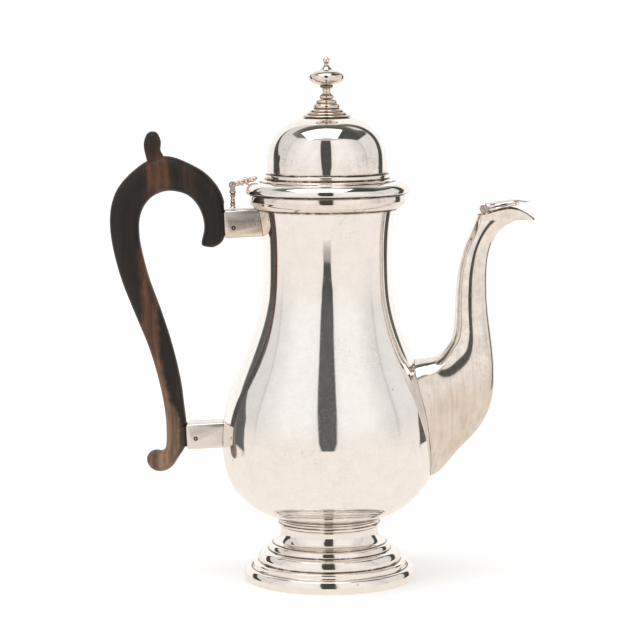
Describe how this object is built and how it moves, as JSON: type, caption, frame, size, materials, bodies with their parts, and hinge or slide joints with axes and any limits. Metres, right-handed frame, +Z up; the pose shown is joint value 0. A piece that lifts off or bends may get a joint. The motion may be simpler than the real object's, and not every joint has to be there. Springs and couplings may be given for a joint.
{
  "type": "coffee pot",
  "caption": "Baluster silver coffee pot with stepped foot, hinged domed lid, swan-neck spout with hinged flap and scrolled wood handle in silver sockets.",
  "frame": {"origin": "middle of the object's bounding box, on the surface that the foot stands on; the body's axis is 2.75 mm towards +X", "axes": "+Z up, +X from the handle to the spout, +Y away from a viewer who has the handle on the left"},
  "size_m": [0.2266, 0.1146, 0.28],
  "materials": {
    "silver": "polished, lightly worn silver",
    "pin_silver": "polished pin ends",
    "dark_wood": "dark hardwood with reddish streaks, waxed"
  },
  "bodies": {
    "pot": {"body_shell": "silver", "rim_band": "silver", "foot_collar": "silver", "foot": "silver", "foot_rim": "silver", "spout": "silver", "spout_lug_near": "silver", "spout_lug_far": "silver", "spout_flap_pin": "pin_silver", "upper_socket": "silver", "lower_socket": "silver", "upper_pin": "pin_silver", "lower_pin": "pin_silver", "handle": "dark_wood", "hinge_post": "silver", "hinge_fork": "silver", "hinge_pin": "pin_silver"},
    "lid": {"lid_arm": "silver", "lid_dome": "silver", "lid_flange": "silver", "lid_bezel": "silver", "finial_base": "silver", "finial_knob": "silver", "finial_washer": "silver", "finial_nut": "silver"},
    "flap": {"spout_flap": "silver"}
  },
  "joints": [
    {"name": "lid_hinge", "type": "hinge", "parent": "pot", "child": "lid", "pos_m": [-0.04755, 0, 0.2128], "axis": [0, -1, 0], "range_deg": [0, 90]},
    {"name": "flap_hinge", "type": "hinge", "parent": "pot", "child": "flap", "pos_m": [0.08615, 0, 0.1991], "axis": [0, -1, 0], "range_deg": [0, 75]}
  ]
}
